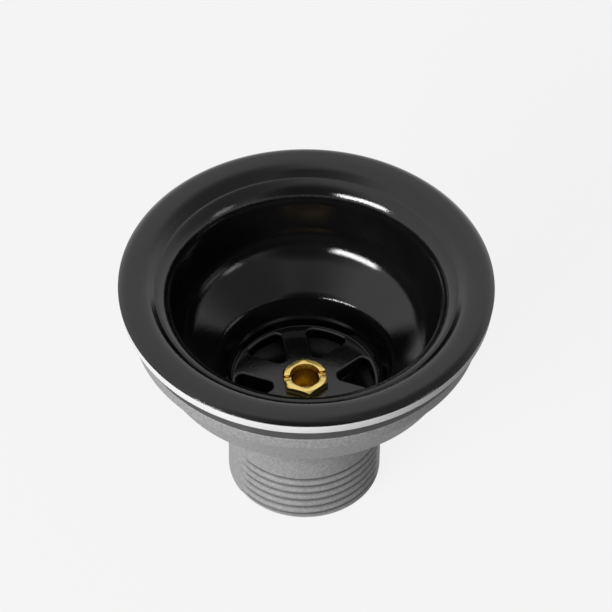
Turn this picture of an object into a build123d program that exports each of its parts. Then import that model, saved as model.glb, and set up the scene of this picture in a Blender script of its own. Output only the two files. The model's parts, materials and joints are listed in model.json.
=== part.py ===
from build123d import *
import os
from math import cos, radians, sqrt, tan

# Basket-strainer waste for a kitchen sink, drawn about its own upright axis, which is +Z.
# Z is 0 at the open end of the threaded tail and the flange is uppermost. Sizes are in millimetres.
# The pieces are drawn from the sink's upper face, where the two seals meet, and lifted at the end.

# Pressed steel cup: flange, bowl, well and grate are one sheet
SHEET = 1.0
BOWL_DIAMETER = 81.6        # inside the straight wall
BOWL_DEPTH = 20.8           # sink face down to the foot of the wall
BOWL_TAPER = 0.3            # the wall comes in by this much on each side
BOWL_BEND = 7.5
SEAT_WIDTH = 5.2            # sloping seat for the basket, between the wall and the flange
SEAT_FALL = 2.3
SEAT_BEND = 5.0
STEP_RUN = 4.0              # step up from the seat to the flange
STEP_RISE = 2.95
FLANGE_WIDTH = 5.2          # flat of the flange
RIM_TURN = 1.8              # edge turned down at 45 degrees
RIM_BEND = 4.0
FLOOR_SLOPE = 35.1          # degrees
WELL_DIAMETER = 52.4
WELL_DEPTH = 5.8
WELL_TAPER = 2.3
WELL_BEND = 2.0
RING_WIDTH = 1.0            # bevelled ring round the foot of the well
RING_FALL = 1.0
GRATE_DROP = 2.8            # ring down to the grate
GRATE_RUN = 0.2

# Grate: openings between straight spokes, with their edges drawn down
SPOKES = 6
SPOKE_WIDTH = 8.6
HUB_DIAMETER = 21.4
OPENING_MARGIN = 1.5        # grate left outside the openings
OPENING_CORNER = 1.6
EDGE_DEPTH = 4.0
EDGE_BEVEL = 0.8

# Seals, clamped above and below the sink
UPPER_SEAL_THICKNESS = 4.5
UPPER_SEAL_INSET = 0.4      # inside the edge of the flange
LOWER_SEAL_THICKNESS = 6.5
LOWER_SEAL_WIDTH = 7.5
HOLE_GAP = 3.2              # cup to the edge of the sink's hole
SEAL_GAP = 1.0

# Moulded body
RIM_WIDTH = 4.9
RIM_HEIGHT = 4.2
RIM_STEP = 0.6
RIM_GAP = 3.3               # sink's hole to the inside of the rim
SHOULDER_DROP = 3.5         # shoulder below the foot of the bowl's wall
SHOULDER_GAP = 0.7          # and outside it
SHOULDER_STEP = 0.5
FUNNEL_WALL = 2.2
FUNNEL_GAP = 3.1            # grate to the inside of the funnel
NECK_BEND = 14.0
TAIL_DIAMETER = 47.8
TAIL_WALL = 3.4
TAIL_LENGTH = 29.25
TAIL_CHAMFER = 0.3
BODY_TURN = -7.0            # degrees the body stands turned from the grate

# Thread on the tail, moulded in two halves with a smooth strip at each parting line
THREAD_PITCH = 3.3
THREAD_DEPTH = 0.85
GROOVE_WIDTH = 2.0
GROOVE_SWEEP = 110.0        # degrees of each half that carry the thread
THREAD_TURNS = 6
THREAD_START = 0.8          # end of the tail up to the first groove

# Spider inside the body, with the boss that takes the screw
BOSS_GAP = 4.8
BOSS_HEIGHT = 14.0
BOSS_WALL = 2.4
BOSS_CAP = 1.0
RIBS = 4
RIB_THICKNESS = 3.0
RIB_FALL = 4.0              # top of a rib from the boss out to the wall

# Hollow brass screw and its insert
HEX_SIZE = 13.0             # across the flats
HEAD_HEIGHT = 2.2
HEAD_CHAMFER = 30.0         # degrees
SLOT_WIDTH = 1.9
SLOT_DEPTH = 1.2
SOCKET_DIAMETER = 8.3
SOCKET_DEPTH = 10.0
MOUTH_DIAMETER = 9.6
MOUTH_DEPTH = 1.9
SHANK_DIAMETER = 10.8
SHANK_LENGTH = 8.0
SHANK_GAP = 0.15
SCREW_DIAMETER = 9.9
SCREW_LENGTH = 14.0
SCREW_CHAMFER = 0.8
INSERT_SIZE = 14.0          # across the flats
INSERT_GROOVE = 3.0
INSERT_WAIST = 1.1          # depth of the groove round the insert
THREAD_GAP = 0.05


def ring(points, bends):
    """Turn a closed section, drawn as radius and height, once round the axis."""
    outline = FilletPolyline(points, radius=bends, close=True)
    return revolve(Plane.XZ * make_face(outline), Axis.Z, 360)


# Heights and radii that the pieces share, from the sink's upper face
flange_z = UPPER_SEAL_THICKNESS + SHEET
bowl_r = BOWL_DIAMETER / 2
foot_r = bowl_r - BOWL_TAPER
crease_r = bowl_r + SEAT_WIDTH
step_r = crease_r + STEP_RUN
rim_r = step_r + FLANGE_WIDTH + RIM_TURN
crease_z = flange_z - STEP_RISE
seat_z = crease_z - SEAT_FALL
well_r = WELL_DIAMETER / 2
floor_z = -BOWL_DEPTH - (foot_r - well_r) * tan(radians(FLOOR_SLOPE))
ring_r = well_r - WELL_TAPER
ring_z = floor_z - WELL_DEPTH
drop_r = ring_r - RING_WIDTH
drop_z = ring_z - RING_FALL
grate_r = drop_r - GRATE_RUN
grate_z = drop_z - GRATE_DROP
edge_z = grate_z - EDGE_DEPTH
opening_r = grate_r - OPENING_MARGIN
hub_r = HUB_DIAMETER / 2
shank_r = SHANK_DIAMETER / 2
hole_r = bowl_r + SHEET + HOLE_GAP

# Cup: the two sides of the sheet, joined at the rim and the hub, and turned
# The turned edge of the flange is sharp underneath, where the press closes on it
sheet_corners = [
    (rim_r, flange_z - RIM_TURN),
    (rim_r - RIM_TURN, flange_z),
    (step_r, flange_z),
    (crease_r, crease_z),
    (bowl_r, seat_z),
    (foot_r, -BOWL_DEPTH),
    (well_r, floor_z),
    (ring_r, ring_z),
    (drop_r, drop_z),
    (grate_r, grate_z),
    (shank_r + SHANK_GAP, grate_z),
]
bends = [0, 0, SEAT_BEND, BOWL_BEND, WELL_BEND, 0, 0, 0]
upper_side = FilletPolyline(sheet_corners, radius=[RIM_BEND] + bends)
base_line = FilletPolyline(sheet_corners, radius=[0] + bends)
under_side = offset(base_line, SHEET, kind=Kind.INTERSECTION, side=Side.LEFT, closed=False)
under_ends = sorted([under_side @ 0, under_side @ 1], key=lambda point: -point.X)
rim_edge = Line(upper_side @ 0, under_ends[0])
hub_edge = Line(upper_side @ 1, under_ends[1])
sheet_edges = upper_side.edges() + under_side.edges() + rim_edge.edges() + hub_edge.edges()
sheet_section = make_face(sheet_edges)
cup = revolve(Plane.XZ * sheet_section, Axis.Z, 360)

# Openings: a ring crossed by the spokes, with every corner rounded
bar = Rectangle(4 * grate_r, SPOKE_WIDTH)
spoke_bars = [Rot(0, 0, 30 + i * 360 / SPOKES) * bar for i in range(SPOKES // 2)]
openings = Circle(opening_r) - Circle(hub_r) - spoke_bars
inner_gap = 2 * (hub_r * 0.5 - SPOKE_WIDTH / 2)
openings = fillet(openings.vertices(), min(OPENING_CORNER, 0.75 * inner_gap))
edges = [offset(one, SHEET) for one in openings.faces()]
for outline in edges:
    cup += Pos(0, 0, edge_z) * extrude(outline, EDGE_DEPTH - SHEET / 2)
cup -= Pos(0, 0, edge_z - SHEET) * extrude(openings, EDGE_DEPTH + 2 * SHEET)
top_edges = cup.edges().filter_by_position(Axis.Z, grate_z - 0.01, grate_z + 0.01)
mouths = [e for e in top_edges if hub_r - 1 < sqrt(e.center().X ** 2 + e.center().Y ** 2) < opening_r + 0.01]
cup = chamfer(mouths, EDGE_BEVEL)

# Seals: the upper one fills the hollow under the flange, the lower one is a plain ring
upper_in = step_r + SHEET + UPPER_SEAL_INSET
upper_out = rim_r - UPPER_SEAL_INSET
upper_flat = rim_r - RIM_TURN - RIM_BEND * tan(radians(22.5))
upper_edge = flange_z - RIM_TURN - SHEET
upper_seal = ring(
    [
        (upper_in, 0),
        (upper_out, 0),
        (upper_out, upper_edge),
        (upper_flat, UPPER_SEAL_THICKNESS),
        (upper_in, UPPER_SEAL_THICKNESS),
    ],
    [0, 0, 0, 0, 0],
)
lower_in = hole_r + SEAL_GAP
lower_out = lower_in + LOWER_SEAL_WIDTH
lower_seal = ring(
    [
        (lower_in, -LOWER_SEAL_THICKNESS),
        (lower_out, -LOWER_SEAL_THICKNESS),
        (lower_out, 0),
        (lower_in, 0),
    ],
    [0, 0, 0, 0],
)

# Body: the funnel runs from a shoulder beside the bowl to just clear of the grate, then into the tail
rim_in = hole_r + RIM_GAP
rim_out = rim_in + RIM_WIDTH
rim_top = -LOWER_SEAL_THICKNESS
rim_foot = rim_top - RIM_HEIGHT
shoulder_z = -BOWL_DEPTH - SHOULDER_DROP
shoulder_in = foot_r + SHEET + SHOULDER_GAP
grate_side = opening_r + SHEET + FUNNEL_GAP
funnel_slope = (shoulder_z - edge_z) / (shoulder_in - grate_side)
funnel_wall = FUNNEL_WALL * sqrt(1 + 1 / funnel_slope ** 2)
shoulder_out = shoulder_in + funnel_wall
tail_r = TAIL_DIAMETER / 2
bore_r = tail_r - TAIL_WALL
neck_z = shoulder_z - funnel_slope * (shoulder_out - tail_r)
bore_z = shoulder_z - funnel_slope * (shoulder_in - bore_r)
tail_z = neck_z - TAIL_LENGTH
body = ring(
    [
        (bore_r, tail_z),
        (tail_r - TAIL_CHAMFER, tail_z),
        (tail_r, tail_z + TAIL_CHAMFER),
        (tail_r, neck_z),
        (shoulder_out, shoulder_z),
        (shoulder_out + SHOULDER_STEP, shoulder_z),
        (rim_out - RIM_STEP, rim_foot),
        (rim_out, rim_foot),
        (rim_out, rim_top),
        (rim_in, rim_top),
        (rim_in, rim_foot),
        (shoulder_in, shoulder_z),
        (bore_r, bore_z),
    ],
    [0, 0, 0, NECK_BEND, 0, 0, 0, 0, 0, 0, 0, 0, 0],
)

# Spider: a boss on the axis, held by ribs that lean down to the wall
insert_r = INSERT_SIZE / 2 / cos(radians(30))
boss_r = insert_r + BOSS_WALL
boss_top = edge_z - BOSS_GAP
boss_foot = boss_top - BOSS_HEIGHT
screw_r = SCREW_DIAMETER / 2
wall_r = bore_r + TAIL_WALL / 3
rib_side = Plane.XZ * make_face(
    Polyline(
        (0, boss_top - BOSS_CAP),
        (wall_r, boss_top - BOSS_CAP - RIB_FALL),
        (wall_r, boss_foot),
        (0, boss_foot),
        close=True,
    )
)
rib = extrude(rib_side, RIB_THICKNESS / 2, both=True)
for i in range(RIBS):
    body += Rot(0, 0, 45 + i * 360 / RIBS) * rib
body += Pos(0, 0, boss_foot) * extrude(Circle(boss_r), BOSS_HEIGHT)

# Thread: one short helical groove, repeated up the front half and, half a pitch higher, the back half
# The cutter stands as far out of the tail as it goes in, so it is twice as wide there
groove_rise = THREAD_PITCH * GROOVE_SWEEP / 360
groove_path = Helix(THREAD_PITCH, groove_rise, tail_r)
groove_section = Plane.XZ * make_face(
    Polyline(
        (tail_r + THREAD_DEPTH, -GROOVE_WIDTH),
        (tail_r + THREAD_DEPTH, GROOVE_WIDTH),
        (tail_r - THREAD_DEPTH, 0),
        close=True,
    )
)
groove = sweep(groove_section, path=groove_path, is_frenet=True)
front_start = -90 - GROOVE_SWEEP / 2
for turn in range(THREAD_TURNS):
    height = tail_z + THREAD_START + turn * THREAD_PITCH
    body -= Pos(0, 0, height) * Rot(0, 0, front_start) * groove
    body -= Pos(0, 0, height + THREAD_PITCH / 2) * Rot(0, 0, front_start + 180) * groove
body = Rot(0, 0, BODY_TURN) * body

# Insert: a hexagon with a waist, so that it can neither turn nor pull out of the moulding
insert_length = BOSS_HEIGHT - 2 * BOSS_CAP
insert_z = boss_foot + BOSS_CAP
hexagon = RegularPolygon(INSERT_SIZE / 2, 6, major_radius=False, rotation=30)
insert_blank = Pos(0, 0, insert_z) * extrude(hexagon, insert_length)
waist = Circle(insert_r + 1) - Circle(INSERT_SIZE / 2 - INSERT_WAIST)
waist_z = insert_z + (insert_length - INSERT_GROOVE) / 2
insert_blank -= Pos(0, 0, waist_z) * extrude(waist, INSERT_GROOVE)
screw_hole = Pos(0, 0, boss_foot) * extrude(Circle(screw_r + THREAD_GAP), BOSS_HEIGHT)
body -= insert_blank
body -= screw_hole
insert = insert_blank - screw_hole

# Screw: hexagon head on the grate, hollow shank through it, solid end in the insert
head_z = grate_z + HEAD_HEIGHT
hex_r = HEX_SIZE / 2
corner_r = hex_r / cos(radians(30))
bevel = (corner_r - hex_r) * tan(radians(HEAD_CHAMFER))
shank_z = grate_z - SHANK_LENGTH
tip_z = shank_z - SCREW_LENGTH
head = Pos(0, 0, grate_z) * extrude(
    RegularPolygon(hex_r, 6, major_radius=False, rotation=30), HEAD_HEIGHT
)
head_turned = ring(
    [
        (0, grate_z),
        (corner_r, grate_z),
        (corner_r, head_z - bevel),
        (hex_r, head_z),
        (0, head_z),
    ],
    [0, 0, 0, 0, 0],
)
shank = ring(
    [
        (0, tip_z),
        (screw_r - SCREW_CHAMFER, tip_z),
        (screw_r, tip_z + SCREW_CHAMFER),
        (screw_r, shank_z),
        (shank_r, shank_z),
        (shank_r, grate_z),
        (0, grate_z),
    ],
    [0, 0, 0, 0, 0, 0, 0],
)
socket = ring(
    [
        (0, head_z - SOCKET_DEPTH),
        (SOCKET_DIAMETER / 2, head_z - SOCKET_DEPTH),
        (SOCKET_DIAMETER / 2, head_z - MOUTH_DEPTH),
        (MOUTH_DIAMETER / 2, head_z),
        (MOUTH_DIAMETER / 2, head_z + 1),
        (0, head_z + 1),
    ],
    [0, 0, 0, 0, 0, 0],
)
slot = Pos(0, 0, head_z) * Box(3 * hex_r, SLOT_WIDTH, 2 * SLOT_DEPTH)
screw = (head & head_turned) + shank - socket - slot

# Lift everything so that the end of the tail is at Z = 0
os.makedirs("parts", exist_ok=True)
pieces = {
    "strainer_cup": cup,
    "upper_seal": upper_seal,
    "lower_seal": lower_seal,
    "waste_body": body,
    "centre_screw": screw,
    "thread_insert": insert,
}
for name, piece in pieces.items():
    export_step(Pos(0, 0, -tail_z) * piece, f"parts/{name}.step")
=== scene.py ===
# %% [markdown]
# # A kitchen sink drain
# A black pressed-steel strainer cup sits in the hole of a sink. One hollow brass screw through the
# middle of its grate pulls a grey moulded body up against the sink from below, and a white and a black
# seal are pinched between them. The CAD model fixes where every piece is. This lesson gives the sheet
# its small bends, the tail its thread and each surface its finish, and lights the drain in a studio.

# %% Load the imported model
import json
import math
from functools import partial

import bmesh
import bpy
from mathutils import Matrix, Quaternion, Vector

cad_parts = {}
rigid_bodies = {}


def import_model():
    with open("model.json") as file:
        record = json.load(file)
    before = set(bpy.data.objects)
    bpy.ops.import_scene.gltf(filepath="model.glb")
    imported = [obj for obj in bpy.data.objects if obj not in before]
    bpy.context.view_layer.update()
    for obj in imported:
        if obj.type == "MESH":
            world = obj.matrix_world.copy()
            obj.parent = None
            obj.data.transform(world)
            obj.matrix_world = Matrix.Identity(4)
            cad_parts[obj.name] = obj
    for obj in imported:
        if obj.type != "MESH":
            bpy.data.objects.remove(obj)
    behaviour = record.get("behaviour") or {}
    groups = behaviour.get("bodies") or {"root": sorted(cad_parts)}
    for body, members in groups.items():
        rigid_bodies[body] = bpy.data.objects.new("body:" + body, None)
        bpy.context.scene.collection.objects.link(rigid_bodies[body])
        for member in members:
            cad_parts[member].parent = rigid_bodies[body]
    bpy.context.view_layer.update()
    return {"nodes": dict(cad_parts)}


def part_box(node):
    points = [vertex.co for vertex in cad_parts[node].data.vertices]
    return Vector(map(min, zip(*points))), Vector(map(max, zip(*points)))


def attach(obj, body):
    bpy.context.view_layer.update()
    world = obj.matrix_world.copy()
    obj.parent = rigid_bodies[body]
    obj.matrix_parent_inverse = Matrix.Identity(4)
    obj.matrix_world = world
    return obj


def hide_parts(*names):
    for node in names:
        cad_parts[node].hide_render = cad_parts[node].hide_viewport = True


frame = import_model()
MM = 0.001

# %% [markdown]
# ## Heights
# Every height that the pieces share is read from the boxes of the CAD nodes. If the CAD model changes,
# the dressed drain follows it. Sizes of a section that a box can't tell are named where they are used,
# in millimetres, and a mesh is turned into metres only when it is made.


# %% Read the heights
def height_range(node):
    low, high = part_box(node)
    return low.z / MM, high.z / MM


edge_foot_z, flange_z = height_range("strainer_cup")
tail_z, body_top_z = height_range("waste_body")
sink_z, upper_seal_top_z = height_range("upper_seal")
rim_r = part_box("strainer_cup")[1].x / MM
print(f"flange {flange_z:.2f}, sink face {sink_z:.2f}, body top {body_top_z:.2f}, rim radius {rim_r:.2f}")

# %% [markdown]
# ## Shared finishes and a painted shade
# The coat on the steel, the moulded plastic and the rubber are all broken up in the same two ways: a
# fine grain that catches the light in specks, and a slow drift in colour or gloss. A third effect darkens
# the colour nearer the axis. On the plastic it is painted shade in the bottom of the thread's grooves and
# inside the body, and in the brass it turns the bore brown. Each is built once as a shader node group with
# its own inputs, on Object coordinates, so that it stays put on the piece.


# %% Shader group: fine grain
def new_group(name, inputs, outputs):
    """An empty shader group with named number inputs and outputs."""
    group = bpy.data.node_groups.new(name, "ShaderNodeTree")
    for label, value in inputs.items():
        socket = group.interface.new_socket(label, in_out="INPUT", socket_type="NodeSocketFloat")
        socket.default_value = value
    for label in outputs:
        group.interface.new_socket(label, in_out="OUTPUT", socket_type="NodeSocketFloat")
    return group, group.nodes.new("NodeGroupInput"), group.nodes.new("NodeGroupOutput")


def noise_in(group, entry, detail):
    """A noise on Object coordinates whose scale is the group's first input."""
    place = group.nodes.new("ShaderNodeTexCoord")
    noise = group.nodes.new("ShaderNodeTexNoise")
    noise.inputs["Detail"].default_value = detail
    group.links.new(place.outputs["Object"], noise.inputs["Vector"])
    group.links.new(entry.outputs[0], noise.inputs["Scale"])
    return noise


grain, entry, leave = new_group("fine grain", {"Scale": 3000.0, "Low": 0.35, "High": 0.65}, ["Height"])
noise = noise_in(grain, entry, 2.0)
spread = grain.nodes.new("ShaderNodeMapRange")
spread.interpolation_type = "SMOOTHSTEP"
grain.links.new(noise.outputs["Fac"], spread.inputs["Value"])
grain.links.new(entry.outputs["Low"], spread.inputs["From Min"])
grain.links.new(entry.outputs["High"], spread.inputs["From Max"])
grain.links.new(spread.outputs["Result"], leave.inputs["Height"])
print("shader group:", grain.name)

# %% Shader group: slow drift
drift, entry, leave = new_group("slow drift", {"Scale": 60.0, "From": 0.0, "To": 1.0}, ["Value"])
noise = noise_in(drift, entry, 3.0)
spread = drift.nodes.new("ShaderNodeMapRange")
spread.inputs["From Min"].default_value = 0.3
spread.inputs["From Max"].default_value = 0.7
drift.links.new(noise.outputs["Fac"], spread.inputs["Value"])
drift.links.new(entry.outputs["From"], spread.inputs["To Min"])
drift.links.new(entry.outputs["To"], spread.inputs["To Max"])
drift.links.new(spread.outputs["Result"], leave.inputs["Value"])
print("shader group:", drift.name)


# %% Shader group: near the axis
near_axis, entry, leave = new_group("near the axis", {"Inside": 0.004, "Outside": 0.005}, ["Mask"])
place = near_axis.nodes.new("ShaderNodeTexCoord")
flat = near_axis.nodes.new("ShaderNodeVectorMath")
flat.operation = "MULTIPLY"
flat.inputs[1].default_value = (1, 1, 0)
reach = near_axis.nodes.new("ShaderNodeVectorMath")
reach.operation = "LENGTH"
spread = near_axis.nodes.new("ShaderNodeMapRange")
spread.interpolation_type = "SMOOTHSTEP"
spread.inputs["To Min"].default_value = 1.0
spread.inputs["To Max"].default_value = 0.0
near_axis.links.new(place.outputs["Object"], flat.inputs[0])
near_axis.links.new(flat.outputs["Vector"], reach.inputs[0])
near_axis.links.new(reach.outputs["Value"], spread.inputs["Value"])
near_axis.links.new(entry.outputs["Inside"], spread.inputs["From Min"])
near_axis.links.new(entry.outputs["Outside"], spread.inputs["From Max"])
near_axis.links.new(spread.outputs["Result"], leave.inputs["Mask"])
print("shader group:", near_axis.name)


# %% Build a material from the groups
GLOSS_TO_TONE = 1.7


def place_group(material, group, values):
    node = material.node_tree.nodes.new("ShaderNodeGroup")
    node.node_tree = group
    for label, value in values.items():
        node.inputs[label].default_value = value
    return node


def grained_material(name, colours, gloss, grain_values, grain_depth, drift_scale):
    """Colour and roughness drift between two values each, under a grain of the given depth in mm."""
    material = bpy.data.materials.new(name)
    material.use_nodes = True
    nodes, links = material.node_tree.nodes, material.node_tree.links
    surface = nodes["Principled BSDF"]
    tone = place_group(material, drift, {"Scale": drift_scale})
    blend = nodes.new("ShaderNodeMix")
    blend.data_type = "RGBA"
    blend.inputs["A"].default_value = (*colours[0], 1.0)
    blend.inputs["B"].default_value = (*colours[1], 1.0)
    links.new(tone.outputs["Value"], blend.inputs["Factor"])
    links.new(blend.outputs["Result"], surface.inputs["Base Color"])
    shine_values = {"Scale": GLOSS_TO_TONE * drift_scale, "From": gloss[0], "To": gloss[1]}
    shine = place_group(material, drift, shine_values)
    links.new(shine.outputs["Value"], surface.inputs["Roughness"])
    specks = place_group(material, grain, grain_values)
    bump = nodes.new("ShaderNodeBump")
    bump.inputs["Strength"].default_value = 1.0
    bump.inputs["Distance"].default_value = grain_depth * MM
    links.new(specks.outputs["Height"], bump.inputs["Height"])
    links.new(bump.outputs["Normal"], surface.inputs["Normal"])
    return material, surface


def darken_near_axis(material, surface, inside, outside, colour):
    """Blend the base colour to another one from one distance to the axis inwards to a second, in mm."""
    nodes, links = material.node_tree.nodes, material.node_tree.links
    plain = surface.inputs["Base Color"].links[0].from_socket
    near = place_group(material, near_axis, {"Inside": inside * MM, "Outside": outside * MM})
    blend = nodes.new("ShaderNodeMix")
    blend.data_type = "RGBA"
    blend.inputs["B"].default_value = (*colour, 1.0)
    links.new(near.outputs["Mask"], blend.inputs["Factor"])
    links.new(plain, blend.inputs["A"])
    links.new(blend.outputs["Result"], surface.inputs["Base Color"])


# %% [markdown]
# ### The black coat
# The steel is sprayed and baked: nearly black, glossy enough to mirror the lamps, with the faint
# pebbled skin that such a coat dries to. The skin is what frays the edge of a highlight into specks.

# %% Black coat
black_coat, surface = grained_material(
    "black_coat",
    colours=((0.004, 0.004, 0.0045), (0.006, 0.006, 0.0065)),
    gloss=(0.07, 0.11),
    grain_values={"Scale": 2000.0, "Low": 0.3, "High": 0.75},
    grain_depth=0.0085,
    drift_scale=90.0,
)
surface.inputs["IOR"].default_value = 1.55
print("material:", black_coat.name)

# %% [markdown]
# ### The grey moulding and the rubbers
# The body is a filled grey plastic with a satin, slightly sandy skin. The two seals are soft and matt:
# one is white, one is black. All three use the same recipe as the coat with other values. Inside the
# tail's radius the grey is blended to a dark grey. That is painted shade in the bottom of the thread's
# grooves and inside the body.

# %% Grey plastic, white rubber and black rubber
TAIL_R = 23.9
GROOVE_TOP, GROOVE_FOOT = 0.1, 1.1
PAINTED_SHADE_GREY = (0.085, 0.085, 0.086)
grey_plastic, surface = grained_material(
    "grey_plastic",
    colours=((0.25, 0.25, 0.252), (0.37, 0.37, 0.372)),
    gloss=(0.5, 0.6),
    grain_values={"Scale": 1500.0, "Low": 0.3, "High": 0.7},
    grain_depth=0.05,
    drift_scale=1100.0,
)
# Painted shade: the grey turns dark inside the tail's radius, in the thread's grooves and inside the body.
darken_near_axis(grey_plastic, surface, TAIL_R - GROOVE_FOOT, TAIL_R - GROOVE_TOP, PAINTED_SHADE_GREY)
white_rubber, surface = grained_material(
    "white_rubber",
    colours=((0.76, 0.76, 0.758), (0.82, 0.82, 0.818)),
    gloss=(0.55, 0.7),
    grain_values={"Scale": 1500.0, "Low": 0.3, "High": 0.7},
    grain_depth=0.012,
    drift_scale=80.0,
)
black_rubber, surface = grained_material(
    "black_rubber",
    colours=((0.045, 0.045, 0.047), (0.065, 0.065, 0.067)),
    gloss=(0.55, 0.7),
    grain_values={"Scale": 1800.0, "Low": 0.3, "High": 0.7},
    grain_depth=0.015,
    drift_scale=80.0,
)
print("materials:", grey_plastic.name, white_rubber.name, black_rubber.name)

# %% [markdown]
# ### Turned brass
# The screw was turned from hexagon bar and is bright outside. Inside the bore's radius its colour is
# blended to a darker brown.

# %% Brass
BORE_R = 4.15
BORE_EDGE = (0.02, 0.25)
BORE_BROWN = (0.62, 0.46, 0.14)
brass, surface = grained_material(
    "brass",
    colours=((0.99, 0.70, 0.21), (1.0, 0.78, 0.30)),
    gloss=(0.24, 0.31),
    grain_values={"Scale": 3500.0, "Low": 0.3, "High": 0.7},
    grain_depth=0.0015,
    drift_scale=200.0,
)
surface.inputs["Metallic"].default_value = 1.0
darken_near_axis(brass, surface, BORE_R + BORE_EDGE[0], BORE_R + BORE_EDGE[1], BORE_BROWN)
print("material:", brass.name)

# %% [markdown]
# ## Sections
# Nearly everything here was pressed, moulded or turned about one upright axis, so each piece starts as
# a section: a list of corners, as radius and height, and the radius that each corner is bent to. The
# bends are worked out as arcs, and a pressed sheet gets its other side by moving every line of the
# section sideways by its thickness.


# %% Bend the corners of a section
ARC_STEP = math.radians(9)
LEAST_BEND = 0.2


def rounded(corners, bends):
    """The points of a section, with each corner bent to its radius."""
    points = []
    for i, (corner, bend) in enumerate(zip(corners, bends)):
        here = Vector(corner)
        if bend == 0:
            points.append(here)
            continue
        back = (Vector(corners[i - 1]) - here).normalized()
        ahead = (Vector(corners[(i + 1) % len(corners)]) - here).normalized()
        half = back.angle(ahead) / 2
        centre = here + (back + ahead).normalized() * bend / math.sin(half)
        first = here + back * bend / math.tan(half) - centre
        last = here + ahead * bend / math.tan(half) - centre
        turn = math.atan2(first.cross(last), first.dot(last))
        steps = max(2, math.ceil(abs(turn) / ARC_STEP))
        for step in range(steps + 1):
            points.append(centre + Matrix.Rotation(turn * step / steps, 2) @ first)
    return points


def other_side(corners, bends, thickness):
    """Corners and bends of the far side of a sheet, to the left of the way its section runs."""
    lines = [(Vector(b) - Vector(a)).normalized() for a, b in zip(corners, corners[1:])]
    lefts = [Vector((-line.y, line.x)) for line in lines]
    moved, turned = [], []
    for i, (corner, bend) in enumerate(zip(corners, bends)):
        before, after = lefts[max(i - 1, 0)], lefts[min(i, len(lefts) - 1)]
        moved.append(tuple(Vector(corner) + (before + after) * thickness / (1 + before.dot(after))))
        outward = bend - thickness if before.cross(after) > 0 else bend + thickness
        turned.append(max(outward, LEAST_BEND) if bend else 0)
    return moved, turned


# %% [markdown]
# ## Turning a section
# A lathe is a rule: the same section at every angle. Here it is a Geometry Nodes tree. The section is
# drawn flat as a chain of edges, made a curve, and carried round a guide circle by Curve to Mesh. A
# Spin in mesh code would do the same once. The tree keeps its sizes as named inputs and serves the cup,
# both seals, the body and the boss alike.


# %% Geometry Nodes: turned piece
def new_tree(name, inputs):
    """A geometry tree with a geometry input, the named inputs, and a geometry output."""
    tree = bpy.data.node_groups.new(name, "GeometryNodeTree")
    tree.interface.new_socket("Geometry", in_out="INPUT", socket_type="NodeSocketGeometry")
    for label, kind in inputs.items():
        tree.interface.new_socket(label, in_out="INPUT", socket_type=kind)
    tree.interface.new_socket("Geometry", in_out="OUTPUT", socket_type="NodeSocketGeometry")
    return tree, tree.nodes.new("NodeGroupInput"), tree.nodes.new("NodeGroupOutput")


def close_tree(tree, entry, leave, geometry):
    """Realize Instances and Set Material, as the last steps of every tree."""
    real = tree.nodes.new("GeometryNodeRealizeInstances")
    paint = tree.nodes.new("GeometryNodeSetMaterial")
    tree.links.new(geometry, real.inputs["Geometry"])
    tree.links.new(real.outputs["Geometry"], paint.inputs["Geometry"])
    tree.links.new(entry.outputs["Material"], paint.inputs["Material"])
    tree.links.new(paint.outputs["Geometry"], leave.inputs["Geometry"])


turned_tree, entry, leave = new_tree(
    "turned piece",
    {"Segments": "NodeSocketInt", "Guide Radius": "NodeSocketFloat", "Material": "NodeSocketMaterial"},
)
section = turned_tree.nodes.new("GeometryNodeMeshToCurve")
guide = turned_tree.nodes.new("GeometryNodeCurvePrimitiveCircle")
carry = turned_tree.nodes.new("GeometryNodeCurveToMesh")
turned_tree.links.new(entry.outputs["Geometry"], section.inputs["Mesh"])
turned_tree.links.new(entry.outputs["Segments"], guide.inputs["Resolution"])
turned_tree.links.new(entry.outputs["Guide Radius"], guide.inputs["Radius"])
turned_tree.links.new(guide.outputs["Curve"], carry.inputs["Curve"])
turned_tree.links.new(section.outputs["Curve"], carry.inputs["Profile Curve"])
close_tree(turned_tree, entry, leave, carry.outputs["Mesh"])
print("geometry tree:", turned_tree.name)


# %% [markdown]
# ### From a tree to a piece
# A tree is only a recipe, so each one is run on a helper object and its result is kept as a plain mesh.
# A finished mesh is welded, its faces are turned outwards, and its sharp edges are marked from their
# angle. Then it takes the place of its CAD node.


# %% Run a tree and keep its mesh
def grown(tree, mesh, values):
    """The plain mesh that a tree makes of a mesh, with its inputs set by their identifiers."""
    maker = bpy.data.objects.new("maker", mesh)
    bpy.context.scene.collection.objects.link(maker)
    modifier = maker.modifiers.new(tree.name, "NODES")
    modifier.node_group = tree
    for socket in tree.interface.items_tree:
        if socket.in_out == "INPUT" and socket.name in values:
            modifier[socket.identifier] = values[socket.name]
    graph = bpy.context.evaluated_depsgraph_get()
    made = bpy.data.meshes.new_from_object(maker.evaluated_get(graph))
    bpy.data.objects.remove(maker)
    return made


def turned(points, material, segments=256, closed=False):
    """Turn a section of radius and height, in millimetres, about the axis."""
    guide_radius = max(point[0] for point in points)
    flat = [((r - guide_radius) * MM, -z * MM, 0) for r, z in points]
    edges = [(i, i + 1) for i in range(len(flat) - 1)]
    if closed:
        edges.append((len(flat) - 1, 0))
    chain = bpy.data.meshes.new("section")
    chain.from_pydata(flat, edges, [])
    sizes = {"Segments": segments, "Guide Radius": guide_radius * MM, "Material": material}
    return grown(turned_tree, chain, sizes)


# %% Close a shell and make it a piece
SHARP = math.radians(38)
WELD = 1e-6


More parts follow.
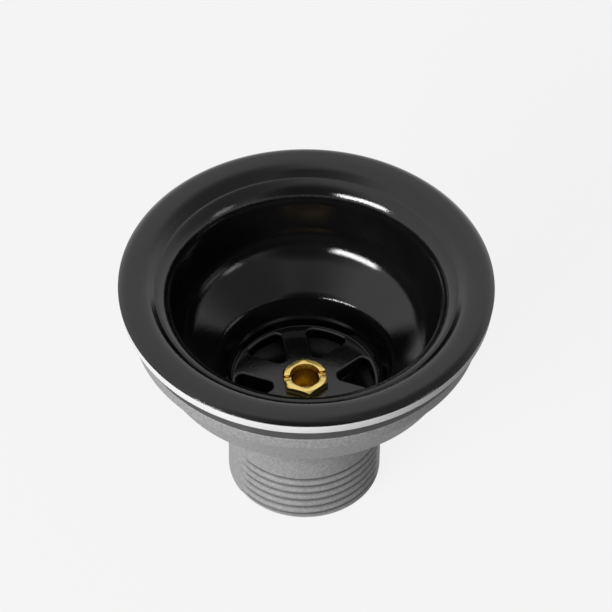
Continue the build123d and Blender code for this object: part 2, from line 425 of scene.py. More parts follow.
def tidy_shell(mesh):
    """Weld a shell, turn its faces outwards and mark its sharp edges."""
    shell = bmesh.new()
    shell.from_mesh(mesh)
    bmesh.ops.remove_doubles(shell, verts=shell.verts, dist=WELD)
    bmesh.ops.recalc_face_normals(shell, faces=shell.faces)
    open_edges = sum(len(edge.link_faces) != 2 for edge in shell.edges)
    volume = shell.calc_volume(signed=True)
    shell.to_mesh(mesh)
    shell.free()
    mesh.shade_smooth()
    mesh.set_sharp_from_angle(angle=SHARP)
    return open_edges, volume


def add_piece(name, mesh, slot, *nodes):
    """Put a finished mesh in the scene in place of its CAD nodes."""
    open_edges, volume = tidy_shell(mesh)
    piece = bpy.data.objects.new(name, mesh)
    bpy.context.scene.collection.objects.link(piece)
    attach(piece, "root")
    if nodes:
        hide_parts(*nodes)
    mesh.calc_loop_triangles()
    print(f"{name}: {len(mesh.loop_triangles)} triangles, {open_edges} open edges, {volume * 1e6:.1f} cm3")


# %% [markdown]
# ## The cup: one pressed sheet
# Flange, bowl, well and grate are a single sheet of steel. Its upper side is a run of twelve corners from
# the rim inwards. A press never leaves a corner sharp, so every one has a bend, and the bends are what
# the lamps draw as bright lines. The step beside the flange is one roll: its corner stands further in
# than the straight step of the CAD model, and its bend takes up the difference. At its foot the press
# leaves a fine crease. The under side follows a sheet's thickness below.

# %% The sheet's section
SHEET = 1.0
FLANGE_WIDTH = 5.2
RIM_TURN = 1.8
STEP_RUN, STEP_RISE = 4.0, 2.95
STEP_ROLL = 0.7
SEAT_WIDTH, SEAT_FALL = 5.2, 2.3
CREASE_WIDTH, CREASE_DEPTH, CREASE_LIP = 0.6, 0.12, 0.04
BOWL_TAPER, BOWL_DEPTH = 0.3, 20.8
FLOOR_SLOPE = math.radians(35.1)
WELL_R, WELL_TAPER, WELL_DEPTH = 26.2, 2.3, 5.8
RING_WIDTH, RING_FALL = 1.0, 1.0
GRATE_RUN, GRATE_FLAT = 0.2, 0.36
EDGE_DEPTH = 4.0
EDGE_BEND, RIM_BEND, STEP_BEND = 0.12, 4.0, 6.0
CREASE_BEND, CREASE_LIP_BEND = 0.15, 0.3
SEAT_BEND, BOWL_BEND, WELL_BEND = 7.7, 13.0, 6.5
WELL_FOOT_BEND, RING_BEND, GRATE_BEND = 1.8, 0.9, 0.3

step_r = rim_r - RIM_TURN - FLANGE_WIDTH
crease_r, crease_z = step_r - STEP_RUN, flange_z - STEP_RISE
bowl_r, seat_z = crease_r - SEAT_WIDTH, crease_z - SEAT_FALL
foot_r, foot_z = bowl_r - BOWL_TAPER, sink_z - BOWL_DEPTH
well_z = foot_z - (foot_r - WELL_R) * math.tan(FLOOR_SLOPE)
ring_r, ring_z = WELL_R - WELL_TAPER, well_z - WELL_DEPTH
drop_r, drop_z = ring_r - RING_WIDTH, ring_z - RING_FALL
grate_z = edge_foot_z + EDGE_DEPTH
grate_r = drop_r - GRATE_RUN

sheet_corners = [
    (rim_r, flange_z - RIM_TURN),
    (rim_r - RIM_TURN, flange_z),
    (step_r - STEP_ROLL, flange_z),
    (crease_r, crease_z - CREASE_DEPTH),
    (crease_r - CREASE_WIDTH, crease_z - CREASE_LIP),
    (bowl_r, seat_z),
    (foot_r, foot_z),
    (WELL_R, well_z),
    (ring_r, ring_z),
    (drop_r, drop_z),
    (grate_r, grate_z),
    (grate_r - GRATE_FLAT, grate_z),
]
sheet_bends = [EDGE_BEND, RIM_BEND, STEP_BEND, CREASE_BEND, CREASE_LIP_BEND, SEAT_BEND]
sheet_bends += [BOWL_BEND, WELL_BEND, WELL_FOOT_BEND, RING_BEND, GRATE_BEND, 0]
under_corners, under_bends = other_side(sheet_corners, sheet_bends, SHEET)
under_bends[0] = EDGE_BEND
cup_section = rounded(under_corners[::-1] + sheet_corners, under_bends[::-1] + sheet_bends)
print(f"sheet section: {len(cup_section)} points, grate at {grate_z:.2f} mm")

# %% [markdown]
# ## The grate's openings
# Six openings are left between six straight spokes, and their edges are drawn down, like a collar, so
# that the edge a finger meets is round. One opening is drawn as an outline that can grow: rings of that
# outline at several heights make the rounded lip, the wall, and the outside of the collar. The tree
# below then sets six copies round the axis.

# %% One opening's outline
OPENING_R = 21.2
HUB_R = 10.7
SPOKE_WIDTH = 8.6
OPENING_CORNER = 1.6
SPOKE_ANGLE = math.radians(30)
OUTER_STEPS, OTHER_STEPS = 10, 6


def arc_points(centre, first, last, count):
    """Points on the shorter arc about a centre, from one point to another."""
    start, end = first - centre, last - centre
    turn = math.atan2(start.cross(end), start.dot(end))
    return [centre + Matrix.Rotation(turn * i / count, 2) @ start for i in range(count + 1)]


def opening_outline(grow):
    """The outline of the opening on +X, made larger all round by a few tenths of a millimetre."""
    outer, inner = OPENING_R + grow, HUB_R - grow
    side, corner = SPOKE_WIDTH / 2 - grow, OPENING_CORNER + grow
    along = Vector((math.cos(SPOKE_ANGLE), math.sin(SPOKE_ANGLE)))
    across = Vector((along.y, -along.x))
    origin = Vector((0, 0))
    outer_run = math.sqrt((outer - corner) ** 2 - (side + corner) ** 2)
    inner_run = math.sqrt((inner + corner) ** 2 - (side + corner) ** 2)
    outer_centre = along * outer_run + across * (side + corner)
    inner_centre = along * inner_run + across * (side + corner)
    on_outer = outer_centre * outer / (outer - corner)
    on_inner = inner_centre * inner / (inner + corner)
    on_side = [along * run + across * side for run in (outer_run, inner_run)]
    half = arc_points(origin, Vector((outer, 0)), on_outer, OUTER_STEPS)
    half += arc_points(outer_centre, on_outer, on_side[0], OTHER_STEPS)[1:]
    half += [on_side[0].lerp(on_side[1], i / OTHER_STEPS) for i in range(1, OTHER_STEPS + 1)]
    half += arc_points(inner_centre, on_side[1], on_inner, OTHER_STEPS)[1:]
    half += arc_points(origin, on_inner, Vector((inner, 0)), OTHER_STEPS)[1:]
    mirrored = [Vector((p.x, -p.y)) for p in half[-2:0:-1]]
    return half + mirrored


# %% Rings of the outline make the drawn edge
LIP = 1.0
LIP_FLAT = 0.05
LIP_STEPS = 6
TIP_ROUND = 0.25
lip_turns = [math.radians(90) * i / LIP_STEPS for i in range(LIP_STEPS + 1)]
edge_rings = [(LIP + LIP_FLAT, grate_z)]
edge_rings += [(LIP * (1 - math.sin(t)), grate_z - LIP * (1 - math.cos(t))) for t in lip_turns]
edge_rings += [(0, edge_foot_z + TIP_ROUND), (TIP_ROUND, edge_foot_z), (SHEET - TIP_ROUND, edge_foot_z)]
edge_rings += [(SHEET, edge_foot_z + TIP_ROUND), (SHEET, grate_z - SHEET)]
corners = [(p.x * MM, p.y * MM, z * MM) for grow, z in edge_rings for p in opening_outline(grow)]
around = len(corners) // len(edge_rings)
faces = []
for ring in range(len(edge_rings) - 1):
    for i in range(around):
        j = (i + 1) % around
        a, b = ring * around, (ring + 1) * around
        faces.append((a + i, a + j, b + j, b + i))
one_edge = bpy.data.meshes.new("drawn_edge")
one_edge.from_pydata(corners, [], faces)
print(f"drawn edge: {len(edge_rings)} rings of {around} points")

# %% Geometry Nodes: ring of copies
ring_tree, entry, leave = new_tree(
    "ring of copies",
    {"Count": "NodeSocketInt", "Turn": "NodeSocketFloat", "Material": "NodeSocketMaterial"},
)
spots = ring_tree.nodes.new("GeometryNodeMeshLine")
spots.inputs["Offset"].default_value = (0, 0, 0)
copies = ring_tree.nodes.new("GeometryNodeInstanceOnPoints")
number = ring_tree.nodes.new("GeometryNodeInputIndex")
share = ring_tree.nodes.new("ShaderNodeMath")
share.operation = "DIVIDE"
angle = ring_tree.nodes.new("ShaderNodeMath")
angle.operation = "MULTIPLY_ADD"
angle.inputs[1].default_value = math.tau
spin = ring_tree.nodes.new("ShaderNodeCombineXYZ")
facing = ring_tree.nodes.new("FunctionNodeEulerToRotation")
ring_tree.links.new(entry.outputs["Count"], spots.inputs["Count"])
ring_tree.links.new(number.outputs["Index"], share.inputs[0])
ring_tree.links.new(entry.outputs["Count"], share.inputs[1])
ring_tree.links.new(share.outputs[0], angle.inputs[0])
ring_tree.links.new(entry.outputs["Turn"], angle.inputs[2])
ring_tree.links.new(angle.outputs[0], spin.inputs["Z"])
ring_tree.links.new(spin.outputs["Vector"], facing.inputs["Euler"])
ring_tree.links.new(spots.outputs["Mesh"], copies.inputs["Points"])
ring_tree.links.new(entry.outputs["Geometry"], copies.inputs["Instance"])
ring_tree.links.new(facing.outputs["Rotation"], copies.inputs["Rotation"])
close_tree(ring_tree, entry, leave, copies.outputs["Instances"])
print("geometry tree:", ring_tree.name)

# %% [markdown]
# ## Joining the cup
# The turned sheet stops at the edge of the grate, above and below. The six drawn edges and the wall of
# the hole in the hub are welded in, and the two flat faces between all those rims are filled. A Boolean
# would cut the same openings, but the welded shell keeps clean rings of faces round each lip.

# %% Weld and fill the cup
HUB_HOLE_R = 5.55
SPOKES = 6
SMALL_SEGMENTS = 96


def joined(meshes):
    """One welded bmesh of several meshes."""
    whole = bmesh.new()
    for mesh in meshes:
        whole.from_mesh(mesh)
    bmesh.ops.remove_doubles(whole, verts=whole.verts, dist=WELD)
    return whole


def fill_level(whole, z):
    """Fill the flat face between all the open rims that lie at one height."""
    level = [e for e in whole.edges if e.is_boundary and all(abs(v.co.z - z * MM) < WELD for v in e.verts)]
    made = bmesh.ops.triangle_fill(whole, edges=level, use_beauty=True, normal=(0, 0, 1))
    return sum(isinstance(part, bmesh.types.BMFace) for part in made["geom"])


openings = grown(ring_tree, one_edge, {"Count": SPOKES, "Turn": 0.0, "Material": black_coat})
hub_section = [(HUB_HOLE_R, grate_z), (HUB_HOLE_R, grate_z - SHEET)]
hub_wall = turned(hub_section, black_coat, segments=SMALL_SEGMENTS)
cup = joined([turned(cup_section, black_coat), openings, hub_wall])
print("flat faces:", fill_level(cup, grate_z), "above,", fill_level(cup, grate_z - SHEET), "below")
cup_mesh = bpy.data.meshes.new("strainer_cup_pressed")
cup.to_mesh(cup_mesh)
cup.free()
cup_mesh.materials.append(black_coat)
add_piece("strainer_cup_pressed", cup_mesh, "black_coat", "strainer_cup")

# %% [markdown]
# ## The seals
# Both seals are rings cut or moulded in rubber. A soft ring under pressure bulges, so its free edges are
# rounded more than a hard part's would be, and they are turned from a section with those bends.

# %% Turn the seals
SEAL_INSET = 0.4
UPPER_SEAL_IN = 51.4
RIM_FLAT = 3.46
LOWER_SEAL_IN, LOWER_SEAL_OUT = 46.0, 53.5
upper_out = rim_r - SEAL_INSET
upper_corners = [
    (UPPER_SEAL_IN, sink_z),
    (upper_out, sink_z),
    (upper_out, flange_z - RIM_TURN - SHEET),
    (rim_r - RIM_FLAT, upper_seal_top_z),
    (UPPER_SEAL_IN, upper_seal_top_z),
]
upper_bends = [0.4, 0.7, 0.3, 0.3, 0.3]
upper_mesh = turned(rounded(upper_corners, upper_bends), white_rubber, closed=True)
add_piece("upper_seal_ring", upper_mesh, "white_rubber", "upper_seal")
lower_corners = [
    (LOWER_SEAL_IN, body_top_z),
    (LOWER_SEAL_OUT, body_top_z),
    (LOWER_SEAL_OUT, sink_z),
    (LOWER_SEAL_IN, sink_z),
]
lower_bends = [0.4, 0.8, 0.8, 0.4]
lower_mesh = turned(rounded(lower_corners, lower_bends), black_rubber, closed=True)
add_piece("lower_seal_ring", lower_mesh, "black_rubber", "lower_seal")

# %% [markdown]
# ## The body: rim, shoulder, funnel and tail
# The body is moulded in plastic. Its section is a closed loop: up the outside of the tail, out along the
# funnel, over a small step at the shoulder, up to the rim that carries the black seal, and back down the
# inside. Moulded edges have small rounds. The straight tail gets extra rows, because the thread will be
# pressed into it.

# %% The body's section
TAIL_WALL = 3.4
TAIL_CHAMFER = 0.3
TAIL_LENGTH = 29.25
SHOULDER_R, SHOULDER_DROP, SHOULDER_STEP = 42.2, 3.5, 0.5
FUNNEL_WALL = 2.2
RIM_IN, RIM_OUT = 48.3, 53.2
RIM_HEIGHT, RIM_STEP = 4.2, 0.6
GRATE_SIDE = 25.3
NECK_BEND = 14.0

bore_r = TAIL_R - TAIL_WALL
shoulder_z = foot_z - SHOULDER_DROP
neck_z = tail_z + TAIL_LENGTH
rim_foot_z = body_top_z - RIM_HEIGHT
funnel_slope = (shoulder_z - edge_foot_z) / (SHOULDER_R - GRATE_SIDE)
shoulder_out = SHOULDER_R + FUNNEL_WALL * math.sqrt(1 + 1 / funnel_slope**2)
bore_z = shoulder_z - funnel_slope * (SHOULDER_R - bore_r)
body_corners = [
    (bore_r, tail_z),
    (TAIL_R - TAIL_CHAMFER, tail_z),
    (TAIL_R, tail_z + TAIL_CHAMFER),
    (TAIL_R, neck_z),
    (shoulder_out, shoulder_z),
    (shoulder_out + SHOULDER_STEP, shoulder_z),
    (RIM_OUT - RIM_STEP, rim_foot_z),
    (RIM_OUT, rim_foot_z),
    (RIM_OUT, body_top_z),
    (RIM_IN, body_top_z),
    (RIM_IN, rim_foot_z),
    (SHOULDER_R, shoulder_z),
    (bore_r, bore_z),
]
body_bends = [0.3, 0.15, 0.15, NECK_BEND, 0.25, 0.3, 0.25, 0.4, 0.5, 0.5, 0.8, 1.0, 2.0]
body_section = rounded(body_corners, body_bends)
print(f"body section: {len(body_section)} points, funnel slope {funnel_slope:.3f}")


# %% Add rows to the tail
TAIL_ROW = 0.16
ON_TAIL = 1e-4
BODY_SEGMENTS = 288


def finer_tail(points):
    """Divide the long straight of the tail's outside into short rows."""
    rows = []
    for here, ahead in zip(points, points[1:] + points[:1]):
        rows.append(here)
        on_tail = all(abs(point[0] - TAIL_R) < ON_TAIL for point in (here, ahead))
        steps = math.ceil((ahead - here).length / TAIL_ROW) if on_tail else 1
        rows += [here.lerp(ahead, i / steps) for i in range(1, steps)]
    return rows


body_shell = turned(finer_tail(body_section), grey_plastic, segments=BODY_SEGMENTS, closed=True)
print("body shell:", len(body_shell.polygons), "faces")

# %% [markdown]
# ## The thread
# The tail's thread is moulded in two halves. Each half of the mould leaves a stretch of thread, and a
# smooth strip is left at each parting line so that the mould can open. That is a rule of angle and
# height: the groove rises one pitch a turn, its depth fades out towards the strips, and the crests are
# round. A tree that moves the points of the tail by that rule is exact and easy to change. A swept
# cutter would need a Boolean through a hundred thousand faces.


# %% Geometry Nodes: moulded thread
def wire(tree, operation, *values):
    """A Math node whose inputs are sockets or plain numbers."""
    node = tree.nodes.new("ShaderNodeMath")
    node.operation = operation
    for socket, value in zip(node.inputs, values):
        if isinstance(value, (int, float)):
            socket.default_value = value
        else:
            tree.links.new(value, socket)
    return node.outputs[0]


GROOVE_POWER = 2.0
thread_sizes = ["Inner Limit", "Pitch", "Depth", "Start", "Turns", "Facing", "Sweep", "Fade"]
thread_inputs = {label: "NodeSocketFloat" for label in thread_sizes}
thread_tree, entry, leave = new_tree("moulded thread", {**thread_inputs, "Material": "NodeSocketMaterial"})
size = entry.outputs
calc = partial(wire, thread_tree)
place = thread_tree.nodes.new("GeometryNodeInputPosition")
apart = thread_tree.nodes.new("ShaderNodeSeparateXYZ")
thread_tree.links.new(place.outputs["Position"], apart.inputs["Vector"])
x, y, z = apart.outputs
radius = calc("SQRT", calc("ADD", calc("MULTIPLY", x, x), calc("MULTIPLY", y, y)))
bearing = calc("SUBTRACT", calc("ARCTAN2", y, x), size["Facing"])
from_middle = calc("WRAP", bearing, math.pi / 2, -math.pi / 2)
on_back = calc("LESS_THAN", calc("COSINE", bearing), 0.0)
half_sweep = calc("MULTIPLY", size["Sweep"], 0.5)
print("place of a point:", len(thread_tree.nodes), "nodes")

# %% [markdown]
# The level of a point is counted in pitches from the first groove, less what the helix has risen there.
# The back half starts half a pitch later, as a thread that runs on would. How far a point is from the
# nearest groove gives its depth, and how far it is from the middle of its half fades that out.

# %% Depth of the groove
risen = calc("DIVIDE", calc("ADD", from_middle, half_sweep), math.tau)
level = calc("DIVIDE", calc("SUBTRACT", z, size["Start"]), size["Pitch"])
level = calc("SUBTRACT", level, risen)
level = calc("SUBTRACT", level, calc("MULTIPLY", on_back, 0.5))
last_turn = calc("SUBTRACT", size["Turns"], 1.0)
nearest = calc("MINIMUM", calc("MAXIMUM", calc("ROUND", level), 0.0), last_turn)
aside = calc("ABSOLUTE", calc("SUBTRACT", level, nearest))
to_crest = calc("MINIMUM", calc("MULTIPLY", aside, 2.0), 1.0)
groove = calc("POWER", calc("SUBTRACT", 1.0, to_crest), GROOVE_POWER)
fading = thread_tree.nodes.new("ShaderNodeMapRange")
fading.interpolation_type = "SMOOTHSTEP"
thread_tree.links.new(calc("ABSOLUTE", from_middle), fading.inputs["Value"])
thread_tree.links.new(half_sweep, fading.inputs["From Min"])
thread_tree.links.new(calc("SUBTRACT", half_sweep, size["Fade"]), fading.inputs["From Max"])
outside = calc("GREATER_THAN", radius, size["Inner Limit"])
depth = calc("MULTIPLY", calc("MULTIPLY", groove, fading.outputs["Result"]), outside)
depth = calc("MULTIPLY", depth, size["Depth"])
print("depth of the groove:", len(thread_tree.nodes), "nodes so far")

# %% Move the points
keep = calc("SUBTRACT", 1.0, calc("DIVIDE", depth, radius))
pressed = thread_tree.nodes.new("ShaderNodeCombineXYZ")
thread_tree.links.new(calc("MULTIPLY", x, keep), pressed.inputs["X"])
thread_tree.links.new(calc("MULTIPLY", y, keep), pressed.inputs["Y"])
thread_tree.links.new(z, pressed.inputs["Z"])
move = thread_tree.nodes.new("GeometryNodeSetPosition")
thread_tree.links.new(entry.outputs["Geometry"], move.inputs["Geometry"])
thread_tree.links.new(pressed.outputs["Vector"], move.inputs["Position"])
close_tree(thread_tree, entry, leave, move.outputs["Geometry"])
print("geometry tree:", thread_tree.name, "with", len(thread_tree.nodes), "nodes")

# %% Press the thread into the tail
BODY_TURN = math.radians(-7)
THREAD_TURN = math.radians(5)
THREAD_PITCH, THREAD_DEPTH, THREAD_START = 3.3, 1.3, 0.75
THREAD_TURNS = 6.0
THREAD_SWEEP, THREAD_FADE = math.radians(132), math.radians(9)
thread_values = {
    "Inner Limit": (bore_r + TAIL_WALL / 2) * MM,
    "Pitch": THREAD_PITCH * MM,
    "Depth": THREAD_DEPTH * MM,
    "Start": (tail_z + THREAD_START) * MM,
    "Turns": THREAD_TURNS,
    "Facing": BODY_TURN - math.pi / 2 + THREAD_TURN,
    "Sweep": THREAD_SWEEP,
    "Fade": THREAD_FADE,
    "Material": grey_plastic,
}
body_shell = grown(thread_tree, body_shell, thread_values)
print("threaded body:", len(body_shell.polygons), "faces")

# %% [markdown]
# ## The spider inside the body
# A boss on the axis takes the screw. Four ribs hold it in the tail, and their tops lean down to the wall
# so that nothing catches on them. One rib is a box with a slanted top, and the ring of copies sets four.
# The boss is turned. They are one moulding with the body, so a Boolean joins them, with the solver that
# is made for closed meshes.

# %% One rib and the boss
BOSS_R = 10.48
BOSS_GAP, BOSS_HEIGHT, BOSS_CAP = 4.8, 14.0, 1.0
RIB_THICKNESS, RIB_FALL, RIB_SINK, RIBS = 3.0, 4.0, 1.0, 4
SCREW_HOLE_R = 5.0
INSERT_R = 8.1

boss_top = edge_foot_z - BOSS_GAP
boss_foot = boss_top - BOSS_HEIGHT
rib_top = boss_top - BOSS_CAP
wall_r = bore_r + TAIL_WALL / 3
rib_in = BOSS_R - RIB_SINK
rib_in_top = rib_top - RIB_FALL * rib_in / wall_r
rib_side = [(rib_in, rib_in_top), (wall_r, rib_top - RIB_FALL), (wall_r, boss_foot), (rib_in, boss_foot)]
half = RIB_THICKNESS / 2
rib_points = [(r * MM, side * MM, z * MM) for side in (-half, half) for r, z in rib_side]
rib_faces = [(0, 1, 2, 3), (7, 6, 5, 4), (0, 4, 5, 1), (1, 5, 6, 2), (2, 6, 7, 3), (3, 7, 4, 0)]
one_rib = bpy.data.meshes.new("rib")
one_rib.from_pydata(rib_points, [], rib_faces)
rib_values = {"Count": RIBS, "Turn": BODY_TURN + math.pi / 4, "Material": grey_plastic}
ribs = grown(ring_tree, one_rib, rib_values)
boss_corners = [
    (SCREW_HOLE_R, boss_foot),
    (BOSS_R, boss_foot),
    (BOSS_R, boss_top),
    (SCREW_HOLE_R, boss_top),
    (SCREW_HOLE_R, boss_top - BOSS_CAP),
    (INSERT_R, boss_top - BOSS_CAP),
    (INSERT_R, boss_foot + BOSS_CAP),
    (SCREW_HOLE_R, boss_foot + BOSS_CAP),
]
boss_bends = [0.2, 0.5, 0.5, 0.2, 0, 0, 0, 0]
boss_section = rounded(boss_corners, boss_bends)
boss = turned(boss_section, grey_plastic, segments=SMALL_SEGMENTS, closed=True)
print("spider:", len(ribs.polygons), "rib faces and", len(boss.polygons), "boss faces")


# %% Join body, ribs and boss
def united(first, *others):
    """The union of closed meshes."""
    whole = bpy.data.objects.new("whole", first)
    bpy.context.scene.collection.objects.link(whole)
    helpers = []
    for mesh in others:
        helper = bpy.data.objects.new("helper", mesh)
        bpy.context.scene.collection.objects.link(helper)
        union = whole.modifiers.new("join", "BOOLEAN")
        union.operation, union.solver, union.object = "UNION", "MANIFOLD", helper
        helpers.append(helper)
    graph = bpy.context.evaluated_depsgraph_get()
    made = bpy.data.meshes.new_from_object(whole.evaluated_get(graph))
    for done in [whole, *helpers]:
        bpy.data.objects.remove(done)
    return made


for shell in (body_shell, ribs, boss):
    tidy_shell(shell)
body_mesh = united(body_shell, ribs, boss)
add_piece("waste_body_moulded", body_mesh, "grey_plastic", "waste_body")

# %% [markdown]
# ## The screw and its insert
# The screw's CAD solid has the right shape: hexagon, slot and socket. What a turned part has besides is a
# tiny broken edge on every corner, which is what shines. A copy of the CAD mesh is welded, its flat faces
# are made whole again, and a Bevel breaks its edges. The insert is buried in the boss and keeps its CAD
# mesh with a better finish.

# %% Break the edges of the screw
EDGE_BREAK = 0.14
FLAT_ANGLE, HARD_ANGLE = math.radians(0.5), math.radians(20)
screw_mesh = frame["nodes"]["centre_screw"].data.copy()
solid = bmesh.new()
solid.from_mesh(screw_mesh)
bmesh.ops.remove_doubles(solid, verts=solid.verts, dist=WELD)
bmesh.ops.dissolve_limit(solid, angle_limit=FLAT_ANGLE, verts=solid.verts, edges=solid.edges)
hard = [e for e in solid.edges if e.is_manifold and e.calc_face_angle() > HARD_ANGLE]
bmesh.ops.bevel(solid, geom=hard, offset=EDGE_BREAK * MM, segments=2, profile=0.5, affect="EDGES",
                clamp_overlap=True)
solid.to_mesh(screw_mesh)
solid.free()
screw_mesh.materials.clear()
screw_mesh.materials.append(brass)
add_piece("centre_screw_turned", screw_mesh, "brass", "centre_screw")
insert = frame["nodes"]["thread_insert"]
insert.data.materials.clear()
insert.data.materials.append(brass)
print("insert keeps its CAD mesh")

# %% [markdown]
# ## Floor, camera and light
# The drain stands on its tail on a pale floor. To the camera and to shiny surfaces the floor is an even
# pale grey, except inside the tail, where no light gets to it. To everything else it is an ordinary matt
# floor, so that it throws light back up at the body and keeps the drain's shadow.

# %% Floor
BACKDROP = 0.888
FLOOR_TINT = 0.07
FLOOR_BOUNCE = 0.16
FLOOR_HALF = 2.0
TAIL_SHADE = 1.0


def seen_directly(nodes, links):
    """1 for rays from the camera and for mirrored or refracted ones."""
    path = nodes.new("ShaderNodeLightPath")
    first = nodes.new("ShaderNodeMath")
    first.operation = "MAXIMUM"
    links.new(path.outputs["Is Camera Ray"], first.inputs[0])
    links.new(path.outputs["Is Glossy Ray"], first.inputs[1])
    both = nodes.new("ShaderNodeMath")
    both.operation = "MAXIMUM"
    links.new(first.outputs[0], both.inputs[0])
    links.new(path.outputs["Is Transmission Ray"], both.inputs[1])
    return both.outputs[0]


floor_paint = bpy.data.materials.new("floor_paint")
floor_paint.use_nodes = True
nodes, links = floor_paint.node_tree.nodes, floor_paint.node_tree.links
nodes.clear()
glow = nodes.new("ShaderNodeEmission")
glow.inputs["Color"].default_value = (BACKDROP, BACKDROP, BACKDROP, 1)
tail_circle = {"Inside": (TAIL_R - TAIL_SHADE) * MM, "Outside": TAIL_R * MM}
under_tail = place_group(floor_paint, near_axis, tail_circle)
open_floor = wire(floor_paint.node_tree, "SUBTRACT", 1.0, under_tail.outputs["Mask"])
links.new(wire(floor_paint.node_tree, "MULTIPLY", open_floor, 1 - FLOOR_TINT / 2), glow.inputs["Strength"])
tint = nodes.new("ShaderNodeBsdfDiffuse")
tint.inputs["Color"].default_value = (FLOOR_TINT, FLOOR_TINT, FLOOR_TINT, 1)
shown = nodes.new("ShaderNodeAddShader")
bounce = nodes.new("ShaderNodeBsdfDiffuse")
bounce.inputs["Color"].default_value = (FLOOR_BOUNCE, FLOOR_BOUNCE, FLOOR_BOUNCE, 1)
choose = nodes.new("ShaderNodeMixShader")
result = nodes.new("ShaderNodeOutputMaterial")
links.new(glow.outputs[0], shown.inputs[0])
links.new(tint.outputs[0], shown.inputs[1])
links.new(seen_directly(nodes, links), choose.inputs[0])
links.new(bounce.outputs[0], choose.inputs[1])
links.new(shown.outputs[0], choose.inputs[2])
links.new(choose.outputs[0], result.inputs["Surface"])
print("material:", floor_paint.name)

# %% Lay the floor
floor_mesh = bpy.data.meshes.new("floor")
floor_corners = [(-1, -1), (1, -1), (1, 1), (-1, 1)]
floor_mesh.from_pydata([(x * FLOOR_HALF, y * FLOOR_HALF, 0) for x, y in floor_corners], [], [(0, 1, 2, 3)])
floor_mesh.materials.append(floor_paint)
floor = bpy.data.objects.new("floor", floor_mesh)
bpy.context.scene.collection.objects.link(floor)
print("floor:", floor.name)

# %% [markdown]
# The camera stands well back with a long lens, about 47 degrees above the floor, and leans very slightly.
# It aims at the middle of the flange's widest circle. The lens shift puts that point a little above the
# middle of the picture without turning the camera.

# %% Camera
VIEW_TURN = math.radians(-11)
VIEW_RISE = math.radians(47.43)
VIEW_DISTANCE = 1.2
VIEW_LEAN = math.radians(0.7)
VIEW_LENS = 233.6
SHIFT = (-0.00065, -0.0365)

aim = Vector((0, 0, (flange_z - RIM_TURN) * MM))
to_right = Vector((math.cos(VIEW_TURN), math.sin(VIEW_TURN), 0))
to_front = Vector((math.sin(VIEW_TURN), -math.cos(VIEW_TURN), 0))
upwards = Vector((0, 0, 1))
back = to_front * math.cos(VIEW_RISE) + upwards * math.sin(VIEW_RISE)
lens = bpy.data.cameras.new("portrait")
lens.lens = VIEW_LENS
lens.shift_x, lens.shift_y = SHIFT
camera = bpy.data.objects.new("portrait", lens)
camera.location = aim + back * VIEW_DISTANCE
camera.rotation_mode = "QUATERNION"
camera.rotation_quaternion = (-back).to_track_quat("-Z", "Y") @ Quaternion((0, 0, 1), VIEW_LEAN)
bpy.context.scene.collection.objects.link(camera)
bpy.context.scene.camera = camera
print("camera at", [round(v, 3) for v in camera.location])

# %% [markdown]
# The world lights weakly, and mostly from overhead, so that grooves and undersides stay dark. To whatever
# mirrors it, it is pale. A glossy black piece shows nothing but its surroundings, so an even world would
# leave the bowl one flat grey. The room falls dark behind the camera, and less so high up on the right,
# and that is what shades the floor of the bowl from side to side and draws the step beside the flange.
# Near the horizon it stays pale all round.

# %% World
HORIZON_LIGHT, OVERHEAD_LIGHT = 0.05, 0.5
OVERHEAD_BAND = (0.2, 0.95)
PALE_BAND = (0.05, 0.25)
DARK_LEVEL = 0.08
SHADE_EDGE = (0.6, 1.0)
BEHIND_CAMERA = (0, 0.9, 0.44)
HIGH_RIGHT, HIGH_RIGHT_SHARE = (0.65, 0.3, 0.7), 0.75

world = bpy.data.worlds.new("studio")
world.use_nodes = True
bpy.context.scene.world = world
tree = world.node_tree
nodes, links = tree.nodes, tree.links
nodes.clear()
place = nodes.new("ShaderNodeTexCoord")
height = nodes.new("ShaderNodeSeparateXYZ")
links.new(place.outputs["Generated"], height.inputs["Vector"])


def ramp(value, start, end):
    """A smooth climb from 0 to 1 while a value goes from start to end."""
    node = nodes.new("ShaderNodeMapRange")
    node.interpolation_type = "SMOOTHSTEP"
    node.inputs["From Min"].default_value, node.inputs["From Max"].default_value = start, end
    links.new(value, node.inputs["Value"])
    return node.outputs["Result"]


def facing(side, front, up):
    """How nearly a ray points in a direction given from the camera's point of view."""
    node = nodes.new("ShaderNodeVectorMath")
    node.operation = "DOT_PRODUCT"
    node.inputs[1].default_value = (to_right * side + to_front * front + upwards * up).normalized()
    links.new(place.outputs["Generated"], node.inputs[0])
    return node.outputs["Value"]


print("world's coordinates:", place.name)

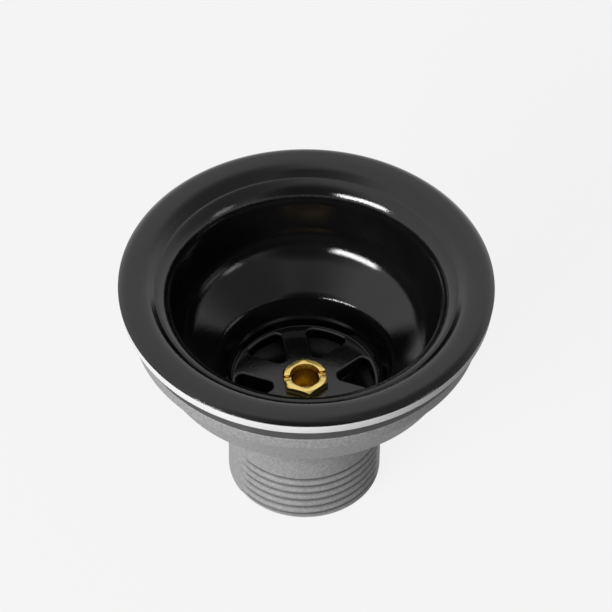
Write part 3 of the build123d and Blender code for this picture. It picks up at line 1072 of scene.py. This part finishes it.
# %% What the world shows and gives
behind_camera = ramp(facing(*BEHIND_CAMERA), *SHADE_EDGE)
high_right = wire(tree, "MULTIPLY", ramp(facing(*HIGH_RIGHT), *SHADE_EDGE), HIGH_RIGHT_SHARE)
shade = wire(tree, "MAXIMUM", behind_camera, high_right)
sky = wire(tree, "MULTIPLY_ADD", shade, DARK_LEVEL - 1, 1.0)
raised = ramp(height.outputs["Z"], *PALE_BAND)
level = wire(tree, "MULTIPLY_ADD", raised, wire(tree, "SUBTRACT", sky, 1.0), 1.0)
dim = nodes.new("ShaderNodeBackground")
dim.inputs["Color"].default_value = (1, 1, 1, 1)
overhead = ramp(height.outputs["Z"], *OVERHEAD_BAND)
light = wire(tree, "MULTIPLY_ADD", overhead, OVERHEAD_LIGHT - HORIZON_LIGHT, HORIZON_LIGHT)
links.new(light, dim.inputs["Strength"])
bright = nodes.new("ShaderNodeBackground")
bright.inputs["Color"].default_value = (BACKDROP, BACKDROP, BACKDROP, 1)
links.new(level, bright.inputs["Strength"])
choose = nodes.new("ShaderNodeMixShader")
result = nodes.new("ShaderNodeOutputWorld")
links.new(seen_directly(nodes, links), choose.inputs[0])
links.new(dim.outputs[0], choose.inputs[1])
links.new(bright.outputs[0], choose.inputs[2])
links.new(choose.outputs[0], result.inputs["Surface"])
bpy.context.scene.view_settings.view_transform = "Standard"
print("world:", len(nodes), "nodes")

# %% [markdown]
# One broad lamp stands low in front and to the left. It is the light that draws the bright lines on the
# lip, the shoulder and the well, and it leaves the right side of the body in shade. A weak lamp on the
# right only draws the thin streaks on the left wall of the bowl.


# %% Lamps
def soft_lamp(name, side, front, height, width, tall, power):
    """An area lamp placed from the camera's point of view, in metres, and aimed at the flange."""
    light = bpy.data.lights.new(name, "AREA")
    light.shape = "RECTANGLE"
    light.size, light.size_y, light.energy = width, tall, power
    lamp = bpy.data.objects.new(name, light)
    lamp.location = to_right * side + to_front * front + upwards * height
    lamp.rotation_mode = "QUATERNION"
    lamp.rotation_quaternion = (lamp.location - aim).to_track_quat("Z", "Y")
    bpy.context.scene.collection.objects.link(lamp)
    print(f"{name}: {power} W")


soft_lamp("key_left", side=-0.84, front=0.96, height=0.59, width=0.86, tall=0.33, power=19.6)
soft_lamp("fill_right", side=1.05, front=0.5, height=0.5, width=0.3, tall=0.3, power=0.6)
